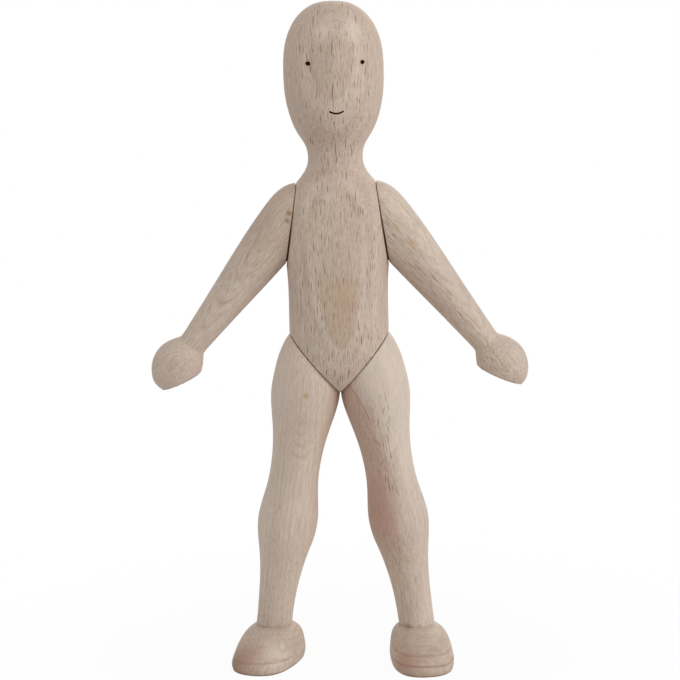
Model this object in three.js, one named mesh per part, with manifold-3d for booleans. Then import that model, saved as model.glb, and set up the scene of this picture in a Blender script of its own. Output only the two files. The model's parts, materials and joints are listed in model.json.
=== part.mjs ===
// A jointed wooden figurine of pale beech that stands on its own feet with its arms held out from its sides.
// Head, neck and torso are one carved piece; each arm with its hand and each leg with its foot is one more.
// Two elastic cords inside the torso pull the limbs against its flats, and bushes keep them on their axes.
// Millimetres, +Z up. The figure faces -Y, so its own left side is at +X, and its soles stand at z = 0.
import * as THREE from "three";
import { mergeVertices } from "three/addons/utils/BufferGeometryUtils.js";
import Module from "manifold-3d";

const wasm = await Module();
wasm.setup();

// Driving dimensions: the body's axis stands this far behind the middle of the footprint
const AXIS_BACK = 1.32;
const FACE_GAP = 0.3; // between a limb's flat and the torso's

// Each shoulder flat runs from under the neck's flare down to the torso's side
const SHOULDER_TOP = new THREE.Vector3(12.6, 0, 160.4);
const SHOULDER_FOOT = new THREE.Vector3(16.4, 0, 133.6);

// Each hip flat runs from the torso's side down to the crotch
const HIP_CORNER = new THREE.Vector3(15.5, 0, 111);
const CROTCH = new THREE.Vector3(0, 0, 92.6);

// Head, neck and torso, upwards: height z, half width w, half depth d, squareness n of the oval section
const BODY_SECTIONS = [
  { z: 90, w: 15, d: 3.6, n: 2.25 },
  { z: 93, w: 15.6, d: 7.2, n: 2.25 },
  { z: 97, w: 15.9, d: 10.2, n: 2.25 },
  { z: 102, w: 16, d: 12.3, n: 2.25 },
  { z: 109, w: 16, d: 13.5, n: 2.25 },
  { z: 118, w: 16, d: 13.9, n: 2.25 },
  { z: 128, w: 16.1, d: 13.9, n: 2.25 },
  { z: 139, w: 16.9, d: 13.5, n: 2.25 },
  { z: 149, w: 17.2, d: 12.5, n: 2.25 },
  { z: 156, w: 16.1, d: 11.2, n: 2.2 },
  { z: 160, w: 13, d: 10, n: 2.1 },
  { z: 164.5, w: 9.65, d: 8.8, n: 2 },
  { z: 168.7, w: 8.75, d: 8.3, n: 2 },
  { z: 172.5, w: 9.55, d: 8.9, n: 2 },
  { z: 176, w: 11.6, d: 10.7, n: 2 },
  { z: 181, w: 13.9, d: 12.9, n: 2 },
  { z: 188.5, w: 15.6, d: 14.6, n: 2 },
  { z: 196, w: 16, d: 15, n: 2 },
  { z: 203, w: 15.65, d: 14.7, n: 2 },
  { z: 209, w: 14.1, d: 13.2, n: 2 },
  { z: 214, w: 11.1, d: 10.4, n: 2 },
  { z: 217.4, w: 6.6, d: 6.2, n: 2 },
  { z: 218.6, w: 0, d: 0, n: 2 },
];

// Arm and hand along the arm's own axis, from the shoulder dome at l = -13.6 to the finger ends
const ARM_START = new THREE.Vector3(15.84, 0, 148.2);
const ARM_SECTIONS = [
  { l: 70.2, w: 0, d: 0, n: 2 },
  { l: 69.4, w: 3.2, d: 3.1, n: 2 },
  { l: 67, w: 5.7, d: 5.4, n: 2 },
  { l: 63, w: 7.6, d: 7, n: 2 },
  { l: 58.5, w: 7.7, d: 7.1, n: 2 },
  { l: 54.6, w: 6.2, d: 6, n: 2 },
  { l: 52, w: 4.75, d: 4.8, n: 2 },
  { l: 49, w: 4.75, d: 4.8, n: 2 },
  { l: 35, w: 5.95, d: 5.9, n: 2 },
  { l: 24.5, w: 6.95, d: 6.7, n: 2 },
  { l: 11.7, w: 8.05, d: 7.6, n: 2.1 },
  { l: 2, w: 8.5, d: 8, n: 2.2 },
  { l: -4, w: 8.35, d: 8, n: 2.2 },
  { l: -8.9, w: 6.95, d: 7.2, n: 2.2 },
  { l: -12.2, w: 4.2, d: 5.1, n: 2.1 },
  { l: -13.6, w: 0, d: 0, n: 2 },
];

// The hand's flat palm faces the ground: a point on it and its tilt from level
const PALM_POINT = new THREE.Vector3(51, 0, 96);
const PALM_TILT = THREE.MathUtils.degToRad(24);

// Foot and leg, upwards: height z, middle x, half width w, half depth d, setback y, squareness n
const LEG_SECTIONS = [
  { z: 0, x: 24.6, w: 9.7, d: 16.6, y: -1.8, n: 2.6 },
  { z: 2.5, x: 24.6, w: 10.3, d: 17.2, y: -1.7, n: 2.6 },
  { z: 5.5, x: 24.5, w: 9.9, d: 15.6, y: -0.5, n: 2.4 },
  { z: 8.5, x: 24.1, w: 8.8, d: 12.2, y: 0.9, n: 2.2 },
  { z: 11, x: 23.7, w: 7.3, d: 9, y: 1.2, n: 2.1 },
  { z: 13.2, x: 23.3, w: 6.15, d: 6.7, y: 1.1, n: 2 },
  { z: 16.5, x: 22.95, w: 5.9, d: 6, y: 1, n: 2 },
  { z: 22, x: 22.2, w: 6.05, d: 6.1, y: 1, n: 2 },
  { z: 29, x: 21.05, w: 6.6, d: 6.7, y: 1, n: 2 },
  { z: 36.5, x: 19.75, w: 7.8, d: 8, y: 1, n: 2 },
  { z: 42, x: 18.8, w: 9.05, d: 9.1, y: 0.9, n: 2 },
  { z: 47.5, x: 18.15, w: 9.75, d: 9.6, y: 0.8, n: 2 },
  { z: 53, x: 17.5, w: 9.45, d: 9.3, y: 0.6, n: 2 },
  { z: 60, x: 16.35, w: 8.4, d: 8.6, y: 0.3, n: 2 },
  { z: 67, x: 15.1, w: 8.05, d: 8.4, y: 0.1, n: 2 },
  { z: 74, x: 13.85, w: 8.5, d: 9, y: 0, n: 2 },
  { z: 81, x: 12.6, w: 9.65, d: 10, y: 0, n: 2.1 },
  { z: 88, x: 11.6, w: 10.95, d: 11, y: 0, n: 2.2 },
  { z: 94, x: 11.2, w: 10.95, d: 11.5, y: 0, n: 2.3 },
  { z: 100, x: 11.2, w: 9.6, d: 11.3, y: 0, n: 2.3 },
  { z: 105, x: 11.2, w: 8, d: 10.4, y: 0, n: 2.3 },
  { z: 110, x: 11.2, w: 5.3, d: 7.6, y: 0, n: 2.2 },
  { z: 113.2, x: 11.2, w: 0, d: 0, y: 0, n: 2 },
];
const ANKLE = new THREE.Vector3(22.9, 1, 0);
const FOOT_TOP = 9; // all of the foot's turn is below this height
const SHIN = 26; // and none of it above this one

// The two sides aren't quite alike: how far each toe turns out and each foot stands forward of its ankle,
// how far each arm is held out from straight down, and how long each arm is against its sections
const SIDES = [
  { name: "left", mirror: 1, toeOut: 5, forward: 2.1, armSpread: 37.3, armReach: 1 },
  { name: "right", mirror: -1, toeOut: 20, forward: -2.1, armSpread: 38.1, armReach: 0.983 },
];

// Burnt eyes and a cut smile, set a little to the figure's left of the middle of the face
const FACE_MIDDLE = 0.6;
const EYE = { apart: 17.05, z: 200.8, r: 0.78 };
const MOUTH = { half: 2.1, z: 184.8, sag: 0.6, r: 0.3 };

// Pivot bushes, cord ends and bores, measured along a joint's axis from the torso's flat
const BORE_R = 3.3;
const LIMB_BORE_DEPTH = 8.6;
const BUSH = { r: 3, hole: 1.7, inTorso: 6, inLimb: 4.2 };
const FERRULE = { r: 2.2, recess: 1.6, from: 4.6, to: 8.1, end: 0.9 };
const CORD_R = 1.25;
const CORD_END = 6.8;
const SHOULDER_CORD_MIDDLE = 146.2;
const HIP_CORD_MIDDLE = 107.3;

// Saw blocks: wide enough to clear a limb, but under the head only as wide as the shoulder flat
const SAW_WIDTH = 75;
const SAW_DEPTH = 40;
const SHOULDER_SAW_WIDTH = 29;

// Facets
const BODY_SIDES = 32;
const LIMB_SIDES = 24;
const RINGS_PER_SECTION = 2;
const TURNED_SIDES = 16;
const EYE_FACETS = { sides: 10, rows: 6 };
const SMILE_FACETS = { steps: 10, sides: 6 };
const CORD_FACETS = { steps: 24, sides: 8 };
const MERGE = 1e-4;

const BEECH = { color: 0xc9b09a, roughness: 0.62, metalness: 0 };
const HARD_BEECH = { color: 0xb8977a, roughness: 0.5, metalness: 0 };
const ELASTIC = { color: 0xe8e4da, roughness: 0.85, metalness: 0 };
const TINNED_STEEL = { color: 0xb9bcc0, roughness: 0.35, metalness: 1 };

const UP = new THREE.Vector3(0, 0, 1);
const BACKWARDS = new THREE.Vector3(0, 1, 0);
const BEFORE_FACE = 50; // a distance well in front of the face

function solidOf(geometry) {
  const bare = geometry.clone();
  bare.deleteAttribute("normal");
  bare.deleteAttribute("uv");
  const merged = mergeVertices(bare, MERGE);
  const vertProperties = merged.attributes.position.array;
  const corners = merged.index.array;
  const kept = [];
  for (let i = 0; i < corners.length; i += 3) {
    const [a, b, c] = corners.slice(i, i + 3);
    if (a !== b && b !== c && c !== a) kept.push(a, b, c);
  }
  const triVerts = new Uint32Array(kept);
  return new wasm.Manifold(new wasm.Mesh({ numProp: 3, vertProperties, triVerts }));
}

function geometryOf(solid) {
  const mesh = solid.getMesh();
  const geometry = new THREE.BufferGeometry();
  geometry.setAttribute("position", new THREE.BufferAttribute(mesh.vertProperties, 3));
  geometry.setIndex(new THREE.BufferAttribute(mesh.triVerts, 1));
  geometry.computeVertexNormals();
  return geometry;
}

// A carved form: smooth curves run through the sections, and oval rings follow them upwards
function carved(sections, sides, settle = (point) => point) {
  const oval = new THREE.CatmullRomCurve3(sections.map((s) => new THREE.Vector3(s.w, s.d, s.z)));
  const line = new THREE.CatmullRomCurve3(
    sections.map((s) => new THREE.Vector3(s.x ?? 0, s.y ?? 0, s.n)),
  );
  const rings = (sections.length - 1) * RINGS_PER_SECTION;
  const positions = [];
  const index = [];
  for (let i = 0; i <= rings; i++) {
    const size = oval.getPoint(i / rings);
    const place = line.getPoint(i / rings);
    for (let j = 0; j < sides; j++) {
      const angle = (2 * Math.PI * j) / sides;
      const c = Math.cos(angle);
      const s = Math.sin(angle);
      const x = Math.max(size.x, 0) * Math.sign(c) * Math.abs(c) ** (2 / place.z);
      const y = Math.max(size.y, 0) * Math.sign(s) * Math.abs(s) ** (2 / place.z);
      positions.push(...settle(new THREE.Vector3(place.x + x, place.y + y, size.z)));
      const next = (j + 1) % sides;
      if (i < rings) {
        const low = i * sides;
        const high = low + sides;
        index.push(low + j, low + next, high + next, low + j, high + next, high + j);
      }
    }
  }
  for (let j = 1; j < sides - 1; j++) {
    const top = rings * sides;
    index.push(0, j + 1, j, top, top + j, top + j + 1);
  }
  const geometry = new THREE.BufferGeometry();
  geometry.setAttribute("position", new THREE.Float32BufferAttribute(positions, 3));
  geometry.setIndex(index);
  return geometry;
}

// Stands a geometry made along +Z at a point, along a direction
function stand(geometry, point, direction) {
  const turn = new THREE.Quaternion().setFromUnitVectors(UP, direction);
  const place = new THREE.Matrix4().compose(point, turn, new THREE.Vector3(1, 1, 1));
  return geometry.applyMatrix4(place);
}

// A block whose near face lies on a flat, to saw away what is beyond it
function saw(point, normal, width = SAW_WIDTH) {
  const block = new THREE.BoxGeometry(width, width, SAW_DEPTH).translate(0, 0, SAW_DEPTH / 2);
  return solidOf(stand(block, point, normal));
}

function drill(point, direction, radius, depth) {
  const rod = new THREE.CylinderGeometry(radius, radius, depth, TURNED_SIDES);
  rod.rotateX(Math.PI / 2).translate(0, 0, depth / 2);
  return solidOf(stand(rod, point, direction));
}

function mirrored(vector) {
  return new THREE.Vector3(-vector.x, vector.y, vector.z);
}

// The middle of a flat and its outward normal, which is the axis that the limb turns about
function jointAt(top, foot) {
  const run = foot.clone().sub(top);
  return {
    point: top.clone().add(foot).multiplyScalar(0.5),
    axis: new THREE.Vector3(-run.z, 0, run.x).normalize(),
  };
}
const SHOULDER = jointAt(SHOULDER_TOP, SHOULDER_FOOT);
const HIP = jointAt(HIP_CORNER, CROTCH);

function onAxis(joint, distance) {
  return joint.point.clone().addScaledVector(joint.axis, distance);
}

// The foot's share of its turn about the ankle and of its step forward, fading out up the shin
function turnFoot(point, side) {
  const share = 1 - THREE.MathUtils.smoothstep(point.z, FOOT_TOP, SHIN);
  const turn = share * THREE.MathUtils.degToRad(side.toeOut);
  point.sub(ANKLE).applyAxisAngle(UP, turn).add(ANKLE);
  point.y -= share * side.forward;
  return point;
}

// A mark on the face lies where a line straight in from the front meets the wood
function onFace(face, x, z) {
  const ray = new THREE.Raycaster(new THREE.Vector3(x, -BEFORE_FACE, z), BACKWARDS);
  return ray.intersectObject(face)[0].point;
}

function rodAlong(curve, radius, facets) {
  const round = new THREE.Path().absarc(0, 0, radius, 0, 2 * Math.PI);
  const section = new THREE.Shape(round.getSpacedPoints(facets.sides));
  return new THREE.ExtrudeGeometry(section, { steps: facets.steps, extrudePath: curve });
}

function body() {
  const form = carved(BODY_SECTIONS, BODY_SIDES);
  const face = new THREE.Mesh(form, new THREE.MeshBasicMaterial());
  let wood = solidOf(form);
  for (const [joint, sawWidth] of [[SHOULDER, SHOULDER_SAW_WIDTH], [HIP, SAW_WIDTH]]) {
    const reach = joint.point.x / joint.axis.x + 2 * FACE_GAP; // each bore meets the other in the middle
    for (const flip of [(vector) => vector.clone(), mirrored]) {
      const axis = flip(joint.axis);
      wood = wood.subtract(saw(flip(joint.point), axis, sawWidth));
      wood = wood.subtract(drill(flip(onAxis(joint, FACE_GAP)), axis.negate(), BORE_R, reach));
    }
  }
  for (const side of [-1, 1]) {
    const eye = onFace(face, FACE_MIDDLE + (side * EYE.apart) / 2, EYE.z);
    const pit = new THREE.SphereGeometry(EYE.r, EYE_FACETS.sides, EYE_FACETS.rows);
    wood = wood.subtract(solidOf(pit.translate(eye.x, eye.y, eye.z)));
  }
  const smile = [-1, -0.5, 0, 0.5, 1].map((share) =>
    onFace(face, FACE_MIDDLE + share * MOUTH.half, MOUTH.z + MOUTH.sag * share ** 2),
  );
  wood = wood.subtract(solidOf(rodAlong(new THREE.CatmullRomCurve3(smile), MOUTH.r, SMILE_FACETS)));
  return geometryOf(wood);
}

function arm(side) {
  const form = carved(ARM_SECTIONS.map((s) => ({ ...s, z: -s.l * side.armReach })), LIMB_SIDES);
  form.rotateY(-THREE.MathUtils.degToRad(side.armSpread));
  form.translate(ARM_START.x, ARM_START.y, ARM_START.z);
  const inwards = SHOULDER.axis.clone().negate();
  const palmDown = new THREE.Vector3(-Math.sin(PALM_TILT), 0, -Math.cos(PALM_TILT));
  const wood = solidOf(form)
    .subtract(saw(onAxis(SHOULDER, FACE_GAP), inwards))
    .subtract(saw(PALM_POINT, palmDown))
    .subtract(drill(SHOULDER.point, SHOULDER.axis, BORE_R, LIMB_BORE_DEPTH));
  return geometryOf(wood);
}

function leg(side) {
  const form = carved(LEG_SECTIONS, LIMB_SIDES, (point) => turnFoot(point, side));
  const inwards = HIP.axis.clone().negate();
  const wood = solidOf(form)
    .subtract(saw(onAxis(HIP, FACE_GAP), inwards))
    .subtract(drill(HIP.point, HIP.axis, BORE_R, LIMB_BORE_DEPTH));
  return geometryOf(wood);
}

// Turned about +Z, from a profile of radius and distance along the axis
function turned(profile) {
  const points = profile.map(([radius, along]) => new THREE.Vector2(radius, along));
  return new THREE.LatheGeometry(points, TURNED_SIDES).rotateX(Math.PI / 2);
}

function bush() {
  const { r, hole, inTorso, inLimb } = BUSH;
  return turned([[hole, -inTorso], [r, -inTorso], [r, inLimb], [hole, inLimb], [hole, -inTorso]]);
}

function ferrule() {
  const { r, recess, from, to, end } = FERRULE;
  return turned([[0, to - end], [recess, to - end], [recess, from], [r, from], [r, to], [0, to]]);
}

// An elastic cord from the stop in one limb to the stop in the other, straight through both bushes
function cord(joint, middle) {
  const half = [CORD_END, 0, FACE_GAP - BUSH.inTorso].map((distance) => onAxis(joint, distance));
  const route = [...half, new THREE.Vector3(0, 0, middle), ...half.reverse().map(mirrored)];
  return rodAlong(new THREE.CatmullRomCurve3(route), CORD_R, CORD_FACETS);
}

function piece(name, geometry, finish) {
  const mesh = new THREE.Mesh(geometry, new THREE.MeshStandardMaterial(finish));
  mesh.name = name;
  return mesh;
}

function pieceOnAxis(name, geometry, finish, joint) {
  const mesh = piece(name, geometry, finish);
  mesh.position.copy(joint.point);
  mesh.quaternion.setFromUnitVectors(UP, joint.axis);
  return mesh;
}

const figurine = new THREE.Group();
figurine.position.y = AXIS_BACK;
figurine.add(piece("body", body(), BEECH));
figurine.add(piece("shoulder_cord", cord(SHOULDER, SHOULDER_CORD_MIDDLE), ELASTIC));
figurine.add(piece("hip_cord", cord(HIP, HIP_CORD_MIDDLE), ELASTIC));
for (const side of SIDES) {
  const half = new THREE.Group();
  half.scale.x = side.mirror;
  half.add(piece(`arm_${side.name}`, arm(side), BEECH));
  half.add(piece(`leg_${side.name}`, leg(side), BEECH));
  for (const [joint, where] of [[SHOULDER, "shoulder"], [HIP, "hip"]]) {
    half.add(pieceOnAxis(`${where}_bush_${side.name}`, bush(), HARD_BEECH, joint));
    half.add(pieceOnAxis(`${where}_ferrule_${side.name}`, ferrule(), TINNED_STEEL, joint));
  }
  figurine.add(half);
}

export default figurine;
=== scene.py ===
import json
import math

import bmesh
import bpy
from mathutils import Matrix, Quaternion, Vector

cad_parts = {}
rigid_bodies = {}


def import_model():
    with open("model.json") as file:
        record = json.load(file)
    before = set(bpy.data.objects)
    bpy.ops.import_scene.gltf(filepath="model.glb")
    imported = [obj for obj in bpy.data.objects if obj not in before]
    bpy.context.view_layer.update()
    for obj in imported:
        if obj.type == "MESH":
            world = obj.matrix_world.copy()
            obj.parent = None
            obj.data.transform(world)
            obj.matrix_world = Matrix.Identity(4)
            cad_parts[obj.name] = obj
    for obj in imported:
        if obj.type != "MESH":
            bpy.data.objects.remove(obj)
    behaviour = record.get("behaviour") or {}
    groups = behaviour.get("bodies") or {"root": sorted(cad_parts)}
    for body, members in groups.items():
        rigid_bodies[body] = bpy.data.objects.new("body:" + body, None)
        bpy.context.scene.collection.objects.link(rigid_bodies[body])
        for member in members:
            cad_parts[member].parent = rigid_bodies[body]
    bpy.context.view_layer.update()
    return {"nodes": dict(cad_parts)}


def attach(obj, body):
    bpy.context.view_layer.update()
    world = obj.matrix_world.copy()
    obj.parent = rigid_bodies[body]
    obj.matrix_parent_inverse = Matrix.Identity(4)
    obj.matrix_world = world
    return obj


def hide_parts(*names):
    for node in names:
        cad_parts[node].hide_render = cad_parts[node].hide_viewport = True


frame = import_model()

# The body: head, neck and torso are one piece of pale beech, shaped on a copying lathe and sanded smooth.
# Four flats are sawn on it for the limbs and bored for their pivots. The eyes are burnt pits and the smile
# is a burnt groove.
MM = 0.001
AXIS_BACK = 1.32  # how far the turned axis lies behind the middle
BODY_SECTIONS = [  # height, half width, half depth, squareness
    (88, 14.6, 2.2, 2.25),
    (90, 15, 3.6, 2.25),
    (93, 15.6, 7.2, 2.25),
    (97, 15.9, 10.2, 2.25),
    (102, 16, 12.3, 2.25),
    (109, 16, 13.5, 2.25),
    (118, 16, 13.9, 2.25),
    (128, 16.1, 13.9, 2.25),
    (139, 16.9, 13.5, 2.25),
    (149, 17.2, 12.5, 2.25),
    (156, 16.1, 11.2, 2.2),
    (160, 13, 10, 2.1),
    (164.5, 9.65, 8.8, 2),
    (168.7, 8.75, 8.3, 2),
    (172.5, 9.55, 8.9, 2),
    (176, 11.6, 10.7, 2),
    (181, 13.9, 12.9, 2),
    (188.5, 15.6, 14.6, 2),
    (196, 16, 15, 2),
    (203, 15.65, 14.7, 2),
    (209, 14.1, 13.2, 2),
    (214, 11.1, 10.4, 2),
    (217.2, 7, 6.5, 2),
    (218.2, 3.7, 3.45, 2),
    (218.55, 1.2, 1.1, 2),
]
RING_POINTS = 8
FITTING_ROUNDS = 20
SMOOTHING = 3  # subdivision levels
CREASE = math.radians(35)  # edges sharper than this stay sharp
SHOULDER_POINT = Vector((14.5, AXIS_BACK, 147))
SHOULDER_AXIS = Vector((0.9901, 0, 0.14039))
SHOULDER_REACH = 18  # the head overhangs the flat further up
SHOULDER_BORE = 14.9
HIP_POINT = Vector((7.75, AXIS_BACK, 101.8))
HIP_AXIS = Vector((0.76481, 0, -0.64427))
HIP_BORE = 10.4
BORE_RADIUS = 3.3
BORE_SIDES = 32
FACE_GAP = 0.3  # between a limb's flat and the body's
EASED_EDGE = 0.18
EASING_STEPS = 3
SAWN_CLOSE = 1e-7
ON_FLAT = 1e-5
ON_AXIS = 1e-6


def through(sizes):
    """The cage sizes whose smoothed surface passes through these sizes."""
    cage = list(sizes)
    for _ in range(FITTING_ROUNDS):
        for i in range(1, len(sizes) - 1):
            cage[i] = (6 * sizes[i] - cage[i - 1] - cage[i + 1]) / 4
    return cage


def pick(mesh, chosen):
    """Selects the vertices that pass a test."""
    grip = bmesh.from_edit_mesh(mesh)
    for vertex in grip.verts:
        vertex.select_set(chosen(vertex.co))
    grip.select_flush_mode()
    bmesh.update_edit_mesh(mesh)


def ring(piece, centre, half_width, half_depth, squareness):
    """Adds an oval of eight points, its corners pushed out by its squareness."""
    corner = 2 ** (-1 / squareness)
    pull = (4 * corner - 1) / (4 - 2 * corner)
    reach = 3 / (2 + pull)
    bpy.ops.mesh.select_all(action="DESELECT")
    bpy.ops.mesh.primitive_circle_add(vertices=RING_POINTS, radius=MM, location=centre)
    size = (reach * half_width, reach * half_depth, 1)
    bpy.ops.transform.resize(value=size, center_override=centre)
    grip = bmesh.from_edit_mesh(piece.data)
    for vertex in grip.verts:
        off = vertex.co - centre
        if abs(off.x) < ON_AXIS or abs(off.y) < ON_AXIS:
            vertex.select_set(False)
    grip.select_flush_mode()
    bmesh.update_edit_mesh(piece.data)
    spread = pull * math.sqrt(2)
    bpy.ops.transform.resize(value=(spread, spread, 1), center_override=centre)
    bpy.ops.mesh.select_linked()


def carve(name, rings, settle=None):
    """Bridges oval rings into one closed form and smooths it. Settle may turn or move each ring first."""
    bpy.ops.object.select_all(action="DESELECT")
    bpy.ops.mesh.primitive_circle_add(vertices=RING_POINTS, radius=MM)
    piece = bpy.context.object
    piece.name = name
    bpy.ops.object.mode_set(mode="EDIT")
    bpy.ops.mesh.select_mode(type="VERT")
    bpy.ops.mesh.select_all(action="SELECT")
    bpy.ops.mesh.delete(type="VERT")
    columns = [through(column) for column in zip(*rings)]
    for x, y, z, width, depth, squareness in zip(*columns):
        ring(piece, Vector((x, y, z)) * MM, width, depth, squareness)
        if settle:
            settle(z)
    bpy.ops.mesh.select_all(action="SELECT")
    bpy.ops.mesh.bridge_edge_loops()
    bpy.ops.mesh.select_all(action="SELECT")
    bpy.ops.mesh.fill_holes(sides=RING_POINTS)
    bpy.ops.mesh.select_all(action="SELECT")
    bpy.ops.mesh.normals_make_consistent(inside=False)
    bpy.ops.object.mode_set(mode="OBJECT")
    modifier = piece.modifiers.new("smooth", "SUBSURF")
    modifier.levels = modifier.render_levels = SMOOTHING
    bpy.ops.object.modifier_apply(modifier=modifier.name)
    return piece


def grab_flat(piece, point, normal):
    """Selects the face with the most corners that lies in a plane."""
    bpy.ops.mesh.select_mode(type="FACE")
    grip = bmesh.from_edit_mesh(piece.data)
    flats = [
        face for face in grip.faces
        if abs((face.calc_center_median() - point).dot(normal)) < ON_FLAT
    ]
    widest = max(flats, key=lambda face: len(face.verts))
    for face in grip.faces:
        face.select_set(face == widest)
    bmesh.update_edit_mesh(piece.data)


def saw(piece, point, normal, eased, within=None, rim=0, proud=0):
    """Saws off what lies beyond a flat, eases its edge, and leaves the flat proud inside a rim."""
    bpy.ops.object.mode_set(mode="EDIT")
    bpy.ops.mesh.select_mode(type="VERT")
    pick(piece.data, within or (lambda at: True))
    bpy.ops.mesh.select_mode(type="FACE")
    bpy.ops.mesh.bisect(
        plane_co=point, plane_no=normal, use_fill=True, clear_outer=True, threshold=SAWN_CLOSE
    )
    grab_flat(piece, point, normal)
    bpy.ops.mesh.select_mode(type="VERT")
    bpy.ops.mesh.remove_doubles(threshold=0.5 * eased)
    grab_flat(piece, point, normal)
    bpy.ops.mesh.region_to_loop()
    bpy.ops.mesh.bevel(offset=eased, segments=EASING_STEPS, affect="EDGES", clamp_overlap=False)
    grab_flat(piece, point, normal)
    bpy.ops.mesh.inset(thickness=eased)
    if proud:
        bpy.ops.mesh.inset(thickness=rim, depth=proud)
    bpy.ops.mesh.select_all(action="SELECT")
    bpy.ops.mesh.normals_make_consistent(inside=False)
    bpy.ops.object.mode_set(mode="OBJECT")


def cut(piece, tool):
    """Takes a tool's shape out of a piece."""
    if not tool.data.materials:
        tool.data.materials.append(piece.data.materials[0])
    bpy.ops.object.select_all(action="DESELECT")
    bpy.context.view_layer.objects.active = piece
    modifier = piece.modifiers.new("cut", "BOOLEAN")
    modifier.operation = "DIFFERENCE"
    modifier.solver = "EXACT"
    modifier.material_mode = "TRANSFER"
    modifier.object = tool
    bpy.ops.object.modifier_apply(modifier=modifier.name)
    bpy.data.objects.remove(tool)


def bore(piece, point, axis, start, end):
    """Drills along a pivot's axis, between two distances from the flat."""
    bpy.ops.mesh.primitive_cylinder_add(
        vertices=BORE_SIDES, radius=BORE_RADIUS * MM, depth=(end - start) * MM,
        location=(point + axis * (start + end) / 2) * MM,
        rotation=axis.to_track_quat("Z", "Y").to_euler(),
    )
    cut(piece, bpy.context.object)


def mirrored(vector, side):
    """A place or direction on the figure's left, or its mirror image where side is -1."""
    return Vector((side * vector.x, vector.y, vector.z))


class Shade:
    """A socket of a material's nodes. Sums and products of sockets add their Math nodes."""

    def __init__(self, tree, socket=None):
        self.tree = tree
        self.socket = socket

    def node(self, kind, settings=None, sockets=None, out=0):
        """Adds a node, sets it, feeds its sockets and gives one of its outputs."""
        made = self.tree.nodes.new("ShaderNode" + kind)
        for key, value in (settings or {}).items():
            setattr(made, key, value)
        for key, value in (sockets or {}).items():
            self.feed(made.inputs[key], value)
        return Shade(self.tree, made.outputs[out])

    def feed(self, socket, value):
        """Links a socket to a shade, or sets it to a plain value."""
        if isinstance(value, Shade):
            self.tree.links.new(value.socket, socket)
        else:
            socket.default_value = value

    def also(self, out):
        """Another output of the same node."""
        return Shade(self.tree, self.socket.node.outputs[out])

    def math(self, operation, *others):
        """A Math node's result, for this value and any others."""
        return self.node("Math", {"operation": operation}, dict(enumerate((self, *others))))

    def __add__(self, other):
        return self.math("ADD", other)

    def __sub__(self, other):
        return self.math("SUBTRACT", other)

    def __rsub__(self, other):
        return self.node("Math", {"operation": "SUBTRACT"}, {0: other, 1: self})

    def __mul__(self, other):
        return self.math("MULTIPLY", other)

    def __truediv__(self, other):
        return self.math("DIVIDE", other)

    __radd__ = __add__
    __rmul__ = __mul__

    def vector(self, operation, other):
        """A Vector Math node's result, for this vector and another."""
        return self.node("VectorMath", {"operation": operation}, {0: self, 1: other})

    def length(self):
        """How long this vector is."""
        return self.node("VectorMath", {"operation": "LENGTH"}, {0: self}, "Value")

    def axis(self, name):
        """This vector's share along X, Y or Z."""
        return self.node("SeparateXYZ", {}, {0: self}, name)

    def smooth(self, start, end):
        """Eases from 0 where the value is start to 1 where it is end."""
        return self.node(
            "MapRange", {"interpolation_type": "SMOOTHSTEP"},
            {"Value": self, "From Min": start, "From Max": end},
        )

    def band(self, start, full, fade, end):
        """Eases up from start to full, and down again from fade to end."""
        return self.smooth(start, full) * self.smooth(end, fade)

    def between(self, first, second):
        """The colour at this share of the way from one colour to another."""
        return self.node("Mix", {"data_type": "RGBA"}, {0: self, 6: first, 7: second}, 2)

    def tint(self, colour, amount):
        """This colour, taken towards another by an amount."""
        return amount.between(self, colour)

    def noise(self, size, seed, detail=2.0, out="Fac"):
        """Cloudy noise whose lumps have this size along each axis."""
        place = self.vector("DIVIDE", size).vector("ADD", (seed, 2 * seed, 3 * seed))
        return self.node("TexNoise", {}, {"Vector": place, "Scale": 1.0, "Detail": detail}, out)

    def far(self, centre, reach):
        """The distance from a centre, counted in its reach along each axis."""
        return self.vector("SUBTRACT", centre).vector("DIVIDE", reach).length()

    def spot(self, centre, reach):
        """1 at a centre, eased to 0 at its reach along each axis."""
        return self.far(centre, reach).smooth(1.0, 0.0)

    def bump(self, strength, depth):
        """The surface's lean where it rises with this value, by a depth in mm."""
        sockets = {"Strength": strength, "Distance": depth * MM, "Height": self}
        return self.node("Bump", {}, sockets)

    def at(self):
        """Where a point of the piece is, in mm."""
        return self.node("TexCoord", {}, {}, "Object").vector("DIVIDE", (MM, MM, MM))

    def laid(self, place, turn):
        """Where a point of the piece is in a frame of its own, in mm."""
        sockets = {
            "Vector": self.node("TexCoord", {}, {}, "Object"),
            "Location": place * MM, "Rotation": turn, "Scale": (MM, MM, MM),
        }
        return self.node("Mapping", {"vector_type": "TEXTURE"}, sockets)


def new_finish(name):
    """A new material, its shader's sockets and the start of its nodes."""
    material = bpy.data.materials.new(name)
    material.use_nodes = True
    sockets = material.node_tree.nodes["Principled BSDF"].inputs
    return material, sockets, Shade(material.node_tree)


def srgb(red, green, blue):
    """A colour as a picture shows it, made linear."""
    shares = [value / 255 for value in (red, green, blue)]
    return tuple(v / 12.92 if v < 0.04045 else ((v + 0.055) / 1.055) ** 2.4 for v in shares) + (1,)


STRAW = srgb(210, 193, 176)
ROSE = srgb(204, 182, 169)
ASH = srgb(193, 178, 167)
LATE_WOOD = srgb(172, 146, 127)
FIBRE = srgb(165, 142, 124)
RAY = srgb(92, 58, 34)
GLEAM = srgb(234, 220, 202)
BROAD_RAYS = ((0.85, 9, 3.8), (0.12, 5, 1.75))  # spacing and size: across, deep and along
FINE_RAYS = ((0.55, 6, 2.6), (0.085, 3, 1.15))
WOOD_SHINE = 0.3
GRAIN_DEPTH = 0.08


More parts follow.
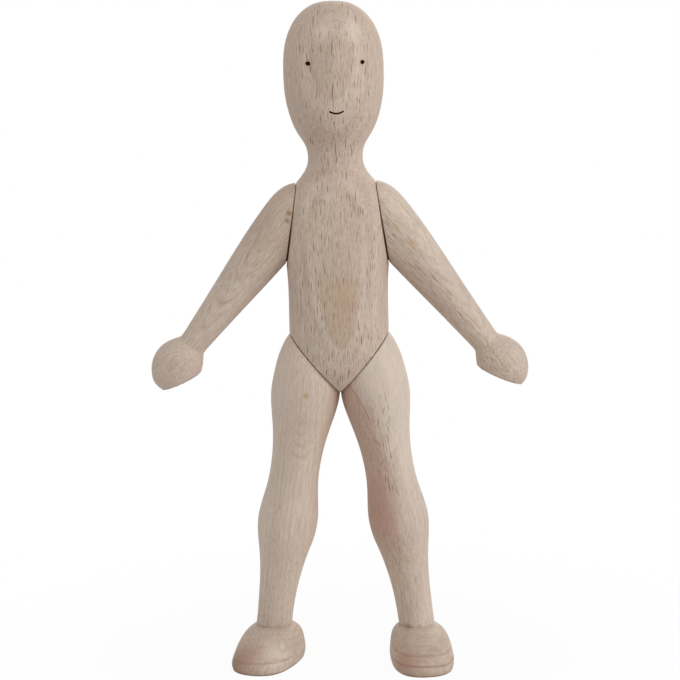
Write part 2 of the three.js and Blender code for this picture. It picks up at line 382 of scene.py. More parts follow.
def rays(grain, spacing, size, seed):
    """The wood's rays, a small flat spindle in each cell: dashes from the front, flakes from the side."""
    place = grain.vector("DIVIDE", spacing).vector("ADD", (seed, seed, seed))
    near = grain.node("TexVoronoi", {}, {"Vector": place, "Scale": 1.0}, "Position")
    lot = grain.node("SeparateColor", {}, {0: near.also("Color")})
    slender = [cell / ray for cell, ray in zip(spacing, size)]
    off = place.vector("SUBTRACT", near).vector("MULTIPLY", slender)
    across = off.vector("MULTIPLY", (1, 0, 1)).length() / (0.65 + 0.7 * lot)
    deep = off.vector("MULTIPLY", (0, 1, 0)).length()
    spindle = across.smooth(1.0, 0.4) * deep.smooth(1.0, 0.6)
    return spindle * lot.also("Green").smooth(0.0, 1.1) * lot.also("Blue").smooth(-0.4, 0.9)


def beech(name, place, turn, heart, year, figure, seed, marks):
    """Sanded beech in its log's frame: rings about a far heart, rays, fibres and slow changes of tone."""
    material, sockets, nodes = new_finish(name)
    log = nodes.laid(place, turn)
    sway = log.noise((26, 26, 55), seed, 1.0, "Color").vector("SUBTRACT", (0.5, 0.5, 0.5))
    grain = log.vector("ADD", sway.vector("MULTIPLY", (2.2, 2.2, 0)))
    level = grain.vector("MULTIPLY", (1, 1, 0))
    far = level.vector("SUBTRACT", (0, heart, 0)).length()
    ripple = 1.6 * log.noise((30, 30, 80), seed + 5)
    ripple = ripple + 0.4 * year * grain.noise((4, 4, 10), seed + 6)
    years = (far + ripple) / year + 0.23
    lot = nodes.node("TexWhiteNoise", {"noise_dimensions": "1D"}, {"W": years.math("FLOOR")})
    late = years.math("FRACT").band(0.4, 0.94, 0.95, 1.0) * (0.35 + 0.65 * lot)
    length = figure["length"]
    fibres = grain.noise((0.45, 0.45, length), seed + 9, 3.0).smooth(0.38, 0.75)
    threads = grain.noise((0.25, 0.25, 0.3 * length), seed + 13).smooth(0.42, 0.78)
    warm = log.noise((13, 13, 34), seed + 17).smooth(0.36, 0.66)
    colour = (warm * figure["rose"]).between(STRAW, ROSE)
    colour = colour.tint(ASH, log.noise((9, 9, 22), seed + 21).smooth(0.45, 0.75) * 0.6)
    colour = colour.tint(LATE_WOOD, late * figure["rings"])
    colour = colour.tint(FIBRE, (fibres * 0.3 + threads * 0.5) * figure["fibre"])
    colour = colour.tint(GLEAM, grain.noise((0.26, 0.26, 2.6), seed + 29).smooth(0.5, 0.8) * 0.36)
    flecks = rays(grain, *BROAD_RAYS, seed) + 0.6 * rays(grain, *FINE_RAYS, seed + 3)
    crowd = 0.75 + 0.35 * log.noise((5, 9, 12), seed + 25).smooth(0.32, 0.68)
    sideways = grain.axis("X").math("ABSOLUTE") / level.length()
    facing = sideways.smooth(figure["facing"], 0.8 * figure["facing"])
    dark = flecks * crowd * facing * figure["rays"]
    colour, dark = marks(nodes.at(), grain, colour, dark)
    height = 1 - 0.6 * dark - 0.25 * fibres - 0.2 * threads
    nodes.feed(sockets["Base Color"], colour.tint(RAY, dark))
    nodes.feed(sockets["Roughness"], 0.6 + 0.12 * fibres - 0.06 * late)
    nodes.feed(sockets["Specular IOR Level"], WOOD_SHINE)
    nodes.feed(sockets["Normal"], height.bump(0.35, GRAIN_DEPTH))
    return material


SAPWOOD = srgb(222, 208, 194)
SCORCH = srgb(176, 140, 100)
GOLD = srgb(178, 152, 122)
# painted shade for the slits at the shoulders
SLIT_SHADE = srgb(104, 70, 46)
EYES = [  # place, half width, half height
    (Vector((-7.95, -11.4, 200.8)), 0.9, 0.68),
    (Vector((9.1, -10.7, 200.8)), 0.82, 0.68),
]
# two painted highlights on the forehead: pale patches that stand for the lamps' sheen on the wood
FOREHEAD_HIGHLIGHTS = ((-3.4, -11, 211), (6.2, -10, 211))
SHIELD = ((-0.3, -13, 53.5), (7, 14, 14.6))  # centre and reach in the log
FACE_RING = ((0, -11, 46), (9.6, 14, 19.6))
CHEST_GLOW = ((-2.2, -10, 7.6), (5.5, 8, 4.2))
BELLY_STAIN = ((2, -13.9, -26), (4, 8, 15))
OVAL_MIDDLE = -15.2
OVAL_HALF_HEIGHT = 26.4
OVAL_HALF_WIDTH = 7.4
OVAL_FLARE = 2.2
BELLY_TOP = 131.5
# the painted shade in the shoulder slits starts at the first height and is full at the second, lower one
SLIT_SHADE_TOP = 157
SLIT_SHADE_FULL = 142


def slit_painted_shade(at, colour):
    """Paints shade in colour on the lower part of the edges at a shoulder's flat, where the slit between
    the pieces lies in shadow.
    """
    both = at.node("VectorMath", {"operation": "ABSOLUTE"}, {0: at})
    dot_product = {"operation": "DOT_PRODUCT"}
    past = at.node("VectorMath", dot_product, {0: both, 1: SHOULDER_AXIS}, "Value")
    past = past - SHOULDER_POINT.dot(SHOULDER_AXIS) - FACE_GAP / 2
    near = past.math("ABSOLUTE").smooth(0.38, 0.26)
    # Painted shade: the slit is darkened in colour, most of all low down.
    return colour.tint(SLIT_SHADE, near * at.axis("Z").smooth(SLIT_SHADE_TOP, SLIT_SHADE_FULL))


def body_marks(at, grain, colour, dark):
    """The rings' figure: a shield and a seam on the face, a long oval on the front, scorched eye rims."""
    height = at.axis("Z")
    shield = grain.far(*SHIELD)
    colour = colour.tint(SAPWOOD, shield.band(0.99, 1.06, 1.1, 1.75) * 0.15)
    colour = colour.tint(LATE_WOOD, shield.smooth(1.04, 0.92) * height.smooth(215, 206) * 0.29)
    face = grain.far(*FACE_RING)
    chin = face.band(0.75, 0.98, 0.99, 1.04) * height.smooth(196, 182)
    colour = colour.tint(LATE_WOOD, chin * 0.32)
    colour = colour.tint(LATE_WOOD, face.smooth(0.99, 1.05) * height.smooth(172, 180) * 0.14)
    # Painted highlights: the forehead is made paler at two spots where the lamps' sheen falls.
    for highlight in FOREHEAD_HIGHLIGHTS:
        colour = colour.tint(SAPWOOD, at.spot(highlight, (5.2, 8, 5.5)) * 0.5)
    seam = grain.axis("X") + 0.9 * at.noise((6, 6, 6), 8) - 0.5
    seam = seam.math("ABSOLUTE").smooth(0.22, 0.06)
    seam = seam * at.noise((3, 3, 3.2), 11).smooth(0.42, 0.6) * height.band(164, 172, 206, 212)
    dark = dark.math("MAXIMUM", seam * 0.75)
    rise = (grain.axis("Z") - OVAL_MIDDLE) / OVAL_HALF_HEIGHT
    lean = (grain.axis("X") + 0.3 + 0.8 * rise) / (OVAL_HALF_WIDTH + OVAL_FLARE * rise)
    oval = (lean * lean + rise * rise * rise * rise).math("SQRT")
    front = grain.axis("Y").smooth(0, -6)
    belly = front * height.smooth(BELLY_TOP, BELLY_TOP - 1.5)
    colour = colour.tint(GOLD, oval.smooth(1.03, 0.97) * front * 0.16)
    colour = colour.tint(GOLD, oval.smooth(0.93, 0.86) * belly * 0.26)
    colour = colour.tint(SAPWOOD, oval.band(0.98, 1.03, 1.05, 1.4) * front * 0.12)
    colour = colour.tint(LATE_WOOD, oval.band(1.1, 1.44, 1.45, 1.49) * front * 0.22)
    colour = colour.tint(SAPWOOD, grain.spot(*CHEST_GLOW) * 0.3)
    colour = colour.tint(SCORCH, grain.spot(*BELLY_STAIN) * 0.2)
    for centre, half_width, _ in EYES:
        colour = colour.tint(SCORCH, at.spot(centre, (2 * half_width, 2, 1.7)) * 0.8)
    # painted shade in the shoulder slits
    return slit_painted_shade(at, colour), dark


BODY_LOG = Vector((0, AXIS_BACK, 150))  # the log's middle
BODY_SEED = 1
BODY_HEART = -140  # where the tree's heart lies from the log's middle
BODY_YEAR = 3  # width of a year's ring
BODY_FIGURE = {
    "rings": 0.26, "rays": 1.1, "rose": 1.0, "fibre": 1.2, "length": 8, "facing": 0.93,
}
body_beech = beech(
    "beech_body", BODY_LOG, (0, 0, 0), BODY_HEART, BODY_YEAR, BODY_FIGURE, BODY_SEED, body_marks
)
body = carve("body_carved", [(0, AXIS_BACK, z, w, d, n) for z, w, d, n in BODY_SECTIONS])
body.data.materials.append(body_beech)
for side in (1, -1):
    saw(
        body, mirrored(SHOULDER_POINT, side) * MM, mirrored(SHOULDER_AXIS, side), EASED_EDGE * MM,
        lambda at: abs(at.z - SHOULDER_POINT.z * MM) < SHOULDER_REACH * MM and at.x * side > 0,
    )
    saw(body, mirrored(HIP_POINT, side) * MM, mirrored(HIP_AXIS, side), EASED_EDGE * MM)
for side in (1, -1):
    shoulder = mirrored(SHOULDER_POINT, side), mirrored(SHOULDER_AXIS, side)
    hip = mirrored(HIP_POINT, side), mirrored(HIP_AXIS, side)
    bore(body, *shoulder, -SHOULDER_BORE, FACE_GAP)
    bore(body, *hip, -HIP_BORE, FACE_GAP)

CHAR = srgb(26, 11, 2)
SINGED = srgb(72, 43, 18)
SMILE_LOW = Vector((0.7, -12.55, 184.85))
SMILE_RADIUS = 3.9
SMILE_LEAN = math.radians(15)
SMILE_SPAN = math.radians(63)
SMILE_WIDTH = 0.33
SMILE_SIDES = 12
SMILE_STEPS = 24
SMILE_DOT = 0.38
PIT_SIDES = 32
burnt, burnt_sockets, char_nodes = new_finish("burnt_mark")
soot = char_nodes.at().noise((0.4, 0.4, 0.4), 3, 3.0)
char_nodes.feed(burnt_sockets["Base Color"], soot.between(CHAR, SINGED))
char_nodes.feed(burnt_sockets["Roughness"], 0.65 + 0.25 * soot)
char_nodes.feed(burnt_sockets["Specular IOR Level"], 0.1)


def burn_pit(centre, half_width, half_height):
    """Burns a round pit in the face."""
    bpy.ops.object.select_all(action="DESELECT")
    bpy.ops.mesh.primitive_uv_sphere_add(
        segments=PIT_SIDES, ring_count=PIT_SIDES // 2, radius=MM, location=centre * MM
    )
    iron = bpy.context.object
    iron.scale = (half_width, half_width, half_height)
    bpy.ops.object.transform_apply()
    iron.data.materials.append(burnt)
    cut(body, iron)


for centre, half_width, half_height in EYES:
    burn_pit(centre, half_width, half_height)
inwards = Vector((0, math.cos(SMILE_LEAN), math.sin(SMILE_LEAN)))
up = Vector((0, -math.sin(SMILE_LEAN), math.cos(SMILE_LEAN)))
across = Vector((1, 0, 0))
middle = SMILE_LOW + SMILE_RADIUS * up
half = SMILE_SPAN / 2
corners = [
    middle + SMILE_RADIUS * (way * math.sin(half) * across - math.cos(half) * up)
    for way in (-1, 1)
]
along = math.cos(half) * across - math.sin(half) * up
bpy.ops.object.select_all(action="DESELECT")
bpy.ops.mesh.primitive_circle_add(
    vertices=SMILE_SIDES, radius=SMILE_WIDTH * MM, location=corners[0] * MM,
    rotation=along.to_track_quat("Z", "Y").to_euler(),
)
graver = bpy.context.object
bpy.ops.object.transform_apply()
bpy.ops.object.mode_set(mode="EDIT")
bpy.ops.mesh.select_all(action="SELECT")
bpy.ops.mesh.spin(steps=SMILE_STEPS, angle=SMILE_SPAN, center=middle * MM, axis=inwards)
bpy.ops.mesh.select_all(action="SELECT")
bpy.ops.mesh.fill_holes(sides=SMILE_SIDES)
bpy.ops.mesh.select_all(action="SELECT")
bpy.ops.mesh.normals_make_consistent(inside=False)
bpy.ops.object.mode_set(mode="OBJECT")
graver.data.materials.append(burnt)
cut(body, graver)
for corner in corners:
    burn_pit(corner, SMILE_DOT, SMILE_DOT)
bpy.ops.object.shade_smooth_by_angle(angle=CREASE)
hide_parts("body")
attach(body, "torso")

# The arms: each arm and its hand are one piece of beech, turned on a lathe and sanded. A slanted saw cut
# makes the flat that turns against the body's, another cut ends the hand, and a blind hole in the flat
# takes the pivot.
SIDES = {"left": 1, "right": -1}
ARM_START = Vector((15.84, AXIS_BACK, 148.2))
ARM_SECTIONS = [  # distance from the shoulder, half width, half depth, squareness
    (70.1, 1.5, 1.45, 2),
    (69.4, 3.2, 3.1, 2),
    (67, 5.7, 5.4, 2),
    (63, 7.6, 7, 2),
    (58.5, 7.7, 7.1, 2),
    (54.6, 6.2, 6, 2),
    (52, 4.75, 4.8, 2),
    (49, 4.75, 4.8, 2),
    (35, 5.95, 5.9, 2),
    (24.5, 6.95, 6.7, 2),
    (11.7, 8.05, 7.6, 2.1),
    (2, 8.5, 8, 2.2),
    (-4, 8.35, 8, 2.2),
    (-8.9, 6.95, 7.2, 2.2),
    (-12.2, 4.2, 5.1, 2.1),
    (-13.4, 1.9, 2.3, 2),
]
PALM_POINT = Vector((51, AXIS_BACK, 96))
PALM_TILT = math.radians(24)
PALM_EDGE = 0.5
LIMB_BORE = 8.6
PROUD = 0.24  # how far the middle of a limb's flat stands above its rim
ARM_RIM = 0.35
ARM_HEART = -90
ARM_YEAR = 0.85
KNOT = srgb(142, 102, 80)
HONEY = srgb(188, 160, 118)
HONEY_SPOTS = (  # place and strength
    ((-2.8, -7.2, -10.5), 0.9),
    ((-3.5, -7.2, -2.9), 0.45),
    ((-1.7, -5, -43.3), 0.5),
)
SHOULDER_KNOTS = ((0.2, -8.1, 3.4), (1.2, -7.9, 1.1))
ARM_CURLS = ((-0.6, -7, -26), (4.6, 6, 30))  # centre and reach
HAND_HUB = (0.3, 0, -58.5)


def left_arm_marks(at, grain, colour, dark):
    """Honey-coloured spots, and more rays and dark streaks along the underside."""
    for spot, strength in HONEY_SPOTS:
        colour = colour.tint(HONEY, grain.spot(spot, (1.7, 1.7, 2.4)) * strength)
    aside = grain.axis("X")
    colour = colour.tint(SAPWOOD, 0.2 * aside.smooth(-5, 1))
    streaks = grain.noise((0.6, 0.6, 12), 6).smooth(0.54, 0.68) * aside.smooth(1, -5)
    colour = colour.tint(KNOT, streaks * 0.35)
    # painted shade in the shoulder's slit
    return slit_painted_shade(at, colour), dark * (0.45 + 0.8 * aside.smooth(-1.5, -6))


def right_arm_marks(at, grain, colour, dark):
    """A pair of small knots beside the shoulder's flat, curls along the arm and a swirl on the hand."""
    along = grain.axis("Z")
    colour = colour.tint(SAPWOOD, along.smooth(-8, -30) * 0.16)
    colour = colour.tint(GOLD, along.smooth(-22, -6) * 0.2)
    for knot in SHOULDER_KNOTS:
        colour = colour.tint(KNOT, grain.spot(knot, (1.6, 1.6, 1.4)) * 0.85)
    aside = grain.axis("X") + 0.6
    bend = (along - 0.55 * aside * aside + 2.6 * grain.noise((3, 3, 6), 7)) / 5.2
    curls = bend.math("FRACT").band(0.45, 0.8, 0.85, 0.97) * grain.spot(*ARM_CURLS).smooth(0, 0.5)
    curls = curls * grain.noise((2.5, 2.5, 3), 2).smooth(0.4, 0.62)
    colour = colour.tint(LATE_WOOD, curls * 0.6)
    hub = grain.vector("SUBTRACT", HAND_HUB).vector("MULTIPLY", (1, 0, 0.8)).length()
    turns = (hub + 1.3 * grain.noise((2.2, 2.2, 2.2), 5)) / 1.15
    swirl = turns.math("FRACT").band(0.35, 0.7, 0.85, 0.98)
    swirl = swirl * hub.smooth(4.4, 2.5) * grain.axis("Y").smooth(-2, -5)
    # painted shade in the shoulder's slit
    return slit_painted_shade(at, colour.tint(LATE_WOOD, swirl * 0.25)), dark


ARMS = {
    "left": {
        "spread": math.radians(37.3), "reach": 0.999, "twist": math.radians(38), "seed": 31,
        "figure": {
            "rings": 0.6, "rays": 0.8, "rose": 1.0, "fibre": 1.5, "length": 9, "facing": 0.82,
        },
        "marks": left_arm_marks,
    },
    "right": {
        "spread": math.radians(38.1), "reach": 0.982, "twist": math.radians(-12), "seed": 52,
        "figure": {
            "rings": 0.55, "rays": 0.35, "rose": 1.0, "fibre": 1.2, "length": 7, "facing": 0.95,
        },
        "marks": right_arm_marks,
    },
}
for name, side in SIDES.items():
    limb = ARMS[name]
    arm = carve(
        "arm_" + name + "_carved",
        [(0, 0, -along * limb["reach"], w, d, n) for along, w, d, n in ARM_SECTIONS],
    )
    arm.rotation_euler.y = -side * limb["spread"]
    arm.location = mirrored(ARM_START, side) * MM
    bpy.ops.object.transform_apply()
    heading = Matrix.Rotation(-side * limb["spread"], 3, "Y") @ Matrix.Rotation(limb["twist"], 3, "Z")
    arm_beech = beech(
        "beech_arm_" + name, mirrored(ARM_START, side), heading.to_euler(),
        ARM_HEART, ARM_YEAR, limb["figure"], limb["seed"], limb["marks"],
    )
    arm.data.materials.append(arm_beech)
    point = mirrored(SHOULDER_POINT, side)
    axis = mirrored(SHOULDER_AXIS, side)
    saw(
        arm, (point + FACE_GAP * axis) * MM, -axis, EASED_EDGE * MM,
        rim=ARM_RIM * MM, proud=PROUD * MM,
    )
    down = Vector((-side * math.sin(PALM_TILT), 0, -math.cos(PALM_TILT)))
    saw(arm, mirrored(PALM_POINT, side) * MM, down, PALM_EDGE * MM)
    bore(arm, point, axis, 0, LIMB_BORE)
    bpy.ops.object.shade_smooth_by_angle(angle=CREASE)
    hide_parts("arm_" + name)
    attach(arm, name + "_arm")

# The legs: each leg and its foot are one piece of beech, carved and sanded round, with a crease at the
# ankle. The hip's flat is sawn at a slant and bored for the pivot, and the sole is sawn level to stand on.
LEG_SECTIONS = [  # height, middle, half width, half depth, setback, squareness
    (-2, 24.6, 9, 16, -1.9, 2.6),
    (0, 24.6, 9.75, 16.6, -1.8, 2.6),
    (2.2, 24.6, 10.25, 17, -1.7, 2.6),
    (4.4, 24.5, 10.1, 16.2, -1.1, 2.5),
    (6.6, 24.4, 9.75, 14.8, -0.3, 2.4),
    (8.6, 24.15, 9.2, 12.9, 0.4, 2.3),
    (10.3, 23.9, 8.4, 10.7, 0.9, 2.2),
    (11.6, 23.6, 7.3, 8.4, 1.1, 2.1),
    (12.2, 23.5, 6.5, 7, 1.1, 2),
    (12.45, 23.4, 5.62, 5.8, 1.05, 2),
    (12.8, 23.4, 5.62, 5.75, 1, 2),
    (13.7, 23.3, 5.85, 5.95, 1, 2),
    (16, 23, 5.85, 5.9, 1, 2),
    (22, 22.2, 6.05, 6.1, 1, 2),
    (29, 21.05, 6.6, 6.7, 1, 2),
    (36.5, 19.75, 7.8, 8, 1, 2),
    (42, 18.8, 9.05, 9.1, 0.9, 2),
    (47.5, 18.15, 9.75, 9.6, 0.8, 2),
    (53, 17.5, 9.45, 9.3, 0.6, 2),
    (60, 16.35, 8.4, 8.6, 0.3, 2),
    (67, 15.1, 8.05, 8.4, 0.1, 2),
    (74, 13.85, 8.5, 9, 0, 2),
    (81, 12.6, 9.65, 10, 0, 2.1),
    (88, 11.6, 10.95, 11, 0, 2.2),
    (94, 11.2, 10.95, 11.5, 0, 2.3),
    (100, 11.2, 9.6, 11.3, 0, 2.3),
    (105, 11.2, 8, 10.4, 0, 2.3),
    (110, 11.2, 5.3, 7.6, 0, 2.2),
    (112.8, 11.2, 2.2, 3.2, 0, 2),
]
ANKLE = Vector((22.9, 1 + AXIS_BACK, 0))
FOOT_TOP = 9  # the foot turns as one below this height
SHIN = 26  # and the leg not at all above this one
SOLE_EDGE = 0.5
LEG_RIM = 1.2
LEG_TOP = Vector((11.2, AXIS_BACK, 100))
LEG_SLANT = math.radians(7.9)
LEG_YEAR = 1.5
RED_HEART = srgb(178, 138, 120)
# painted shade for the inner side of a thigh, where it faces the other leg
INNER_THIGH_SHADE = srgb(200, 166, 142)
RED_KNEE = ((-7, -4, -47), (7, 11, 17))  # centre and reach
THICK_RAYS = ((-1.8, -9, -26), (6.2, 9, 28))
LEFT_RED_TOE = ((19, -16, 4), (9, 8, 7))
LEFT_ANKLE_KNOT = ((20.4, -4.5, 13.2), (2.6, 3, 1.6))
LEFT_TOE_LINES = ((6.6, 0.35), (3.9, 0.6))  # height and strength
PIN_KNOT = (-11.1, -3.1, -7.1)
THIGH_CURLS = ((-9.5, -2.4, -22), (7, 3, 12))
RIGHT_RED_TOE = ((-33, -10.5, 6.5), (10, 10, 8))
# painted shade on the outer corner of the right foot, on the side away from the main lamp
RIGHT_TOE_SHADE = ((-38, -8, 1.5), (10, 15, 9))
RIGHT_PALE_TOE = ((-22, -10, 6), (9, 9, 8))
RIGHT_TOE_LINES = ((4.3, 0.36),)


def foot_marks(at, colour, lines):
    """Mottled end grain, growth rings that come out across the toe, and a sole edge darkened in colour as
    painted shadow where it meets the floor.
    """
    height = at.axis("Z")
    mottle = at.noise((2.5, 4, 1.5), 6).smooth(0.4, 0.7) * height.smooth(14, 9)
    colour = colour.tint(LATE_WOOD, mottle * 0.5)
    wave = 1.2 * at.noise((9, 9, 4), 3)
    toe = at.axis("Y").smooth(-4, -9)
    for low, strength in lines:
        above = height + wave - low
        colour = colour.tint(KNOT, above.band(-0.12, 0.08, 0.1, 0.9) * toe * strength)
    # Painted shadow: the lowest millimetre of the foot is darkened where it meets the floor.
    return colour.tint(KNOT, height.band(0.01, 0.1, 0.25, 1.0) * 0.8)


def left_leg_marks(at, grain, colour, dark):
    """A red heart along the inner side, edged by a thin line at the top, and a darker toe and ankle."""
    height = at.axis("Z")
    along = grain.axis("Z")
    bend = (along + 3.5) / 16
    edge = grain.axis("X") + 2.6 + 7.5 * bend.math("EXPONENT")
    colour = colour.tint(SAPWOOD, edge.smooth(1, 6.5) * (0.25 + 0.3 * along.smooth(-50, -25)))
    ragged = edge + 5 * grain.noise((1.2, 1.2, 9), 4) - 2.5
    red = ragged.smooth(2.4, -1.0) * along.smooth(-80, -50)
    colour = colour.tint(RED_HEART, red * (0.5 + 0.3 * grain.spot(*RED_KNEE)))
    line = edge.math("ABSOLUTE").smooth(0.24, 0.06) * along.smooth(-19, -14)
    colour = colour.tint(KNOT, line * 0.55)
    colour = colour.tint(RED_HEART, at.spot(*LEFT_RED_TOE) * 0.85)
    colour = colour.tint(KNOT, at.spot(*LEFT_ANKLE_KNOT) * 0.55)
    colour = colour.tint(LATE_WOOD, height.smooth(14, 9) * 0.25)
    colour = foot_marks(at, colour, LEFT_TOE_LINES)
    thick = grain.spot(*THICK_RAYS).smooth(0, 0.6)
    inner = height.smooth(8, 16) * edge.smooth(1.5, 0)
    return colour, dark * (0.2 + 1.3 * thick + 0.25 * inner)


def right_leg_marks(at, grain, colour, dark):
    """A pin knot, a column of curled ray flakes down the thigh and a red toe, with painted shade on the
    inner thigh and on the toe's outer corner.
    """
    height = at.axis("Z")
    colour = colour.tint(HONEY, grain.spot(PIN_KNOT, (2.4, 1.5, 1.9)).smooth(0, 0.7))
    colour = colour.tint(KNOT, grain.spot(PIN_KNOT, (2, 0.7, 0.8)) * 0.5)
    aside = grain.axis("Y") + 2.4
    bend = (grain.axis("Z") - 0.35 * aside * aside) / 3.9
    curls = bend.math("FRACT").band(0.5, 0.75, 0.8, 0.95) * grain.spot(*THIGH_CURLS).smooth(0, 0.4)
    colour = colour.tint(LATE_WOOD, curls * 0.45)
    colour = colour.tint(RED_HEART, at.spot(*RIGHT_RED_TOE) * 0.7)
    # Painted shade: the foot's outer corner, away from the main lamp, is darkened in colour.
    colour = colour.tint(KNOT, at.spot(*RIGHT_TOE_SHADE) * 0.8)
    colour = colour.tint(SAPWOOD, 0.18 * height.smooth(10, 20))
    inward = at.axis("X") + LEG_TOP.x + (LEG_TOP.z - height) * math.tan(LEG_SLANT)
    # Painted shade: the inner side of the thigh, facing the other leg, is darkened and warmed in colour.
    colour = colour.tint(INNER_THIGH_SHADE, inward.smooth(5.5, 10) * height.smooth(30, 50) * 0.4)
    colour = colour.tint(SAPWOOD, inward.smooth(-3, -9) * height.smooth(20, 40) * 0.3)
    colour = colour.tint(SAPWOOD, at.spot(*RIGHT_PALE_TOE) * 0.45)
    return foot_marks(at, colour, RIGHT_TOE_LINES), dark * height.smooth(8, 16)


def turn_foot(side, limb, height):
    """Turns a ring of the foot outwards and sets it forward, less and less up the shin."""
    rise = min(max((height - FOOT_TOP) / (SHIN - FOOT_TOP), 0), 1)
    share = 1 - rise * rise * (3 - 2 * rise)
    bpy.ops.transform.rotate(
        value=-side * share * limb["toe_out"], orient_axis="Z",
        center_override=mirrored(ANKLE, side) * MM,
    )
    bpy.ops.transform.translate(value=(0, -share * limb["forward"] * MM, 0))


LEGS = {
    "left": {
        "toe_out": math.radians(5), "forward": 2.1,
        "twist": math.radians(10), "heart": -80, "seed": 38,
        "figure": {
            "rings": 0.4, "rays": 1.0, "rose": 0.6, "fibre": 1.4, "length": 17, "facing": 0.93,
        },
        "marks": left_leg_marks,
    },
    "right": {
        "toe_out": math.radians(20), "forward": -2.1,
        "twist": math.radians(80), "heart": 90, "seed": 59,
        "figure": {
            "rings": 0.38, "rays": 0.12, "rose": 0.35, "fibre": 1.2, "length": 20, "facing": 0.95,
        },
        "marks": right_leg_marks,
    },
}
for name, side in SIDES.items():
    limb = LEGS[name]
    leg = carve(
        "leg_" + name + "_carved",
        [(side * x, AXIS_BACK + y, z, w, d, n) for z, x, w, d, y, n in LEG_SECTIONS],
        lambda height: turn_foot(side, limb, height),
    )
    heading = Matrix.Rotation(-side * LEG_SLANT, 3, "Y") @ Matrix.Rotation(limb["twist"], 3, "Z")
    leg_beech = beech(
        "beech_leg_" + name, mirrored(LEG_TOP, side), heading.to_euler(),
        limb["heart"], LEG_YEAR, limb["figure"], limb["seed"], limb["marks"],
    )
    leg.data.materials.append(leg_beech)
    point = mirrored(HIP_POINT, side)
    axis = mirrored(HIP_AXIS, side)
    saw(
        leg, (point + FACE_GAP * axis) * MM, -axis, EASED_EDGE * MM,
        rim=LEG_RIM * MM, proud=PROUD * MM,
    )
    saw(leg, Vector((0, 0, 0)), Vector((0, 0, -1)), SOLE_EDGE * MM)
    bore(leg, point, axis, 0, LIMB_BORE)
    bpy.ops.object.shade_smooth_by_angle(angle=CREASE)
    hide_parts("leg_" + name)
    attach(leg, name + "_leg")

# The bushes: short sleeves of hard beech, turned on a lathe and waxed so that they run smoothly. Each is
# glued in its limb and turns in the body's bore, and the cord passes through it.
WAXED = srgb(190, 158, 128)
TOOL_MARK = srgb(158, 124, 96)
BUSH_RAYS = ((1.4, 4, 2.6), (0.16, 1.6, 0.8))  # spacing and size
TOOL_DEPTH = 0.05
PIVOTS = {"shoulder": (SHOULDER_POINT, SHOULDER_AXIS), "hip": (HIP_POINT, HIP_AXIS)}


def dress(node, material):
    """Gives a solid that is carried over its own material."""
    node.data.materials.clear()
    node.data.materials.append(material)


for name, side in SIDES.items():
    for joint, (point, axis) in PIVOTS.items():
        turned, sockets, nodes = new_finish("turned_beech_" + joint + "_" + name)
        turn = mirrored(axis, side).to_track_quat("Z", "Y").to_euler()
        sleeve = nodes.laid(mirrored(point, side), turn)
        tool_lines = sleeve.noise((60, 60, 0.25), 4).smooth(0.35, 0.7)
        wood = tool_lines.between(WAXED, TOOL_MARK).tint(RAY, rays(sleeve, *BUSH_RAYS, 5) * 0.6)
        nodes.feed(sockets["Base Color"], wood)
        nodes.feed(sockets["Roughness"], 0.38 + 0.15 * tool_lines)
        nodes.feed(sockets["Normal"], (1 - tool_lines).bump(0.3, TOOL_DEPTH))
        dress(frame["nodes"][joint + "_bush_" + name], turned)

# The cords: two lengths of braided elastic, one from arm to arm and one from leg to leg. Each is drawn
# through the body and stays stretched, so that it pulls its pair of limbs against the flats.
BRAID_HOLLOW = srgb(186, 180, 168)
BRAID_TOP = srgb(234, 230, 220)
BRAID_DEPTH = 0.2
BRAID_SCALE = 1.6
BRAID_WANDER = 0.6
elastic, sockets, nodes = new_finish("braided_elastic")
there = nodes.at()
back = there.vector("MULTIPLY", (-1, 1, 1))
strands, crossing = [
    nodes.node(
        "TexWave", {"bands_direction": "DIAGONAL"},
        {"Vector": way, "Scale": BRAID_SCALE, "Distortion": BRAID_WANDER}, "Fac",
    )
    for way in (there, back)
]
weave = strands.math("MAXIMUM", crossing)
nodes.feed(sockets["Base Color"], weave.between(BRAID_HOLLOW, BRAID_TOP))
nodes.feed(sockets["Roughness"], 0.92 - 0.12 * weave)
nodes.feed(sockets["Normal"], weave.bump(0.5, BRAID_DEPTH))
for joint in PIVOTS:
    dress(frame["nodes"][joint + "_cord"], elastic)

# The ferrules: short sleeves of tinned steel, crimped on the ends of the cords. Each sits behind a bush,
# in the blind bore of its limb, and holds the cord's pull.
TIN_DULL = srgb(176, 180, 184)
TIN_BRIGHT = srgb(212, 214, 216)
SPANGLE_SCALE = 0.9
tin, sockets, nodes = new_finish("tinned_steel")
metal = nodes.at()
spangle = nodes.node("TexVoronoi", {}, {"Vector": metal, "Scale": SPANGLE_SCALE}, "Color")
grey = nodes.node("SeparateColor", {}, {0: spangle})
drawn = metal.noise((0.4, 0.4, 0.4), 2, 4.0)
nodes.feed(sockets["Base Color"], drawn.between(TIN_DULL, TIN_BRIGHT))
nodes.feed(sockets["Metallic"], 1)
nodes.feed(sockets["Roughness"], 0.28 + 0.12 * grey + 0.1 * drawn)
for joint in PIVOTS:
    for name in SIDES:
        dress(frame["nodes"][joint + "_ferrule_" + name], tin)

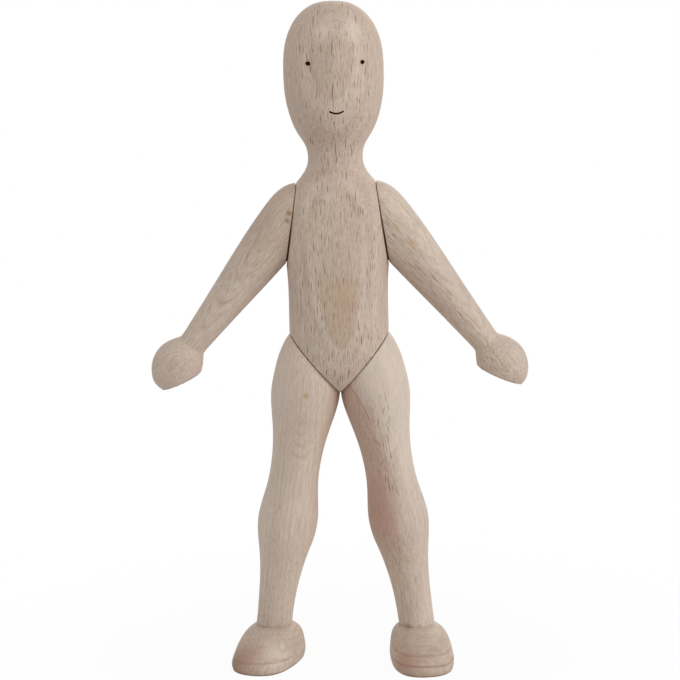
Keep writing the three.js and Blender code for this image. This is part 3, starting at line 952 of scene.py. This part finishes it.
# The stage: a round sheet of white paper that keeps a faint shadow near the feet, in an even white room.
# Four soft lamps light it, the main one from the viewer's right, and the camera looks down a little from
# the front.
FLOOR_RADIUS = 3
FLOOR_SIDES = 96
PAPER = (0.74, 0.73, 0.72, 1)
WHITE = (1, 1, 1, 1)
SHADOW_NEAR = 40
SHADOW_END = 160
ROOM_LIGHT = 0.465
LAMP_SIZE = 0.6
LAMPS = {  # place and power
    "side_lamp": ((1.05, -0.46, 0.36), 5.4),
    "front_lamp": ((-0.03, -0.4, 0.6), 1.1),
    "fill_lamp": ((-1.05, -0.4, 0.0), 1.2),
    "back_lamp": ((0.25, 1.05, 0.5), 3.0),
}
MIDDLE = Vector((0, 0, 0.11))
ELEVATION = math.radians(13)
DISTANCE = 1.3
ROLL = math.radians(1.245)
LENS = 213.4
SENSOR = 36
TARGET = Vector((0.00022, 0, 0.10864))


def seen_straight(nodes):
    """1 for what the camera sees itself, or in a mirror or through glass."""
    path = nodes.node("LightPath", {}, {}, "Is Camera Ray")
    clear = path.also("Is Glossy Ray").math("MAXIMUM", path.also("Is Transmission Ray"))
    return path.math("MAXIMUM", clear)


bpy.ops.object.select_all(action="DESELECT")
bpy.ops.mesh.primitive_circle_add(vertices=FLOOR_SIDES, radius=FLOOR_RADIUS, fill_type="NGON")
floor = bpy.context.object
floor.name = "floor"
paper, sockets, nodes = new_finish("white_paper")
nodes.feed(sockets["Base Color"], PAPER)
nodes.feed(sockets["Roughness"], 0.9)
sheet = Shade(paper.node_tree, paper.node_tree.nodes["Principled BSDF"].outputs[0])
white = nodes.node("Emission", {}, {"Color": WHITE, "Strength": 1.0})
away = nodes.at().length().smooth(SHADOW_NEAR, SHADOW_END)
share = seen_straight(nodes) * (0.95 + 0.05 * away)
lit = nodes.node("MixShader", {}, {0: share, 1: sheet, 2: white})
nodes.feed(paper.node_tree.nodes["Material Output"].inputs["Surface"], lit)
floor.data.materials.append(paper)

scene = bpy.context.scene
scene.view_settings.view_transform = "Standard"
world = bpy.data.worlds.new("studio")
scene.world = world
world.use_nodes = True
room = Shade(world.node_tree)
background = world.node_tree.nodes["Background"]
room.feed(background.inputs["Color"], WHITE)
room.feed(background.inputs["Strength"], ROOM_LIGHT + (1 - ROOM_LIGHT) * seen_straight(room))

for name, (place, power) in LAMPS.items():
    bpy.ops.object.light_add(type="AREA", location=place)
    lamp = bpy.context.object
    lamp.name = name
    lamp.data.energy = power
    lamp.data.size = LAMP_SIZE
    lamp.rotation_euler = (MIDDLE - lamp.location).to_track_quat("-Z", "Y").to_euler()

eye = MIDDLE + DISTANCE * Vector((0, -math.cos(ELEVATION), math.sin(ELEVATION)))
turn = (TARGET - eye).to_track_quat("-Z", "Y") @ Quaternion((0, 0, 1), -ROLL)
bpy.ops.object.camera_add(location=eye, rotation=turn.to_euler())
camera = bpy.context.object
camera.data.lens = LENS
camera.data.sensor_width = SENSOR
scene.camera = camera
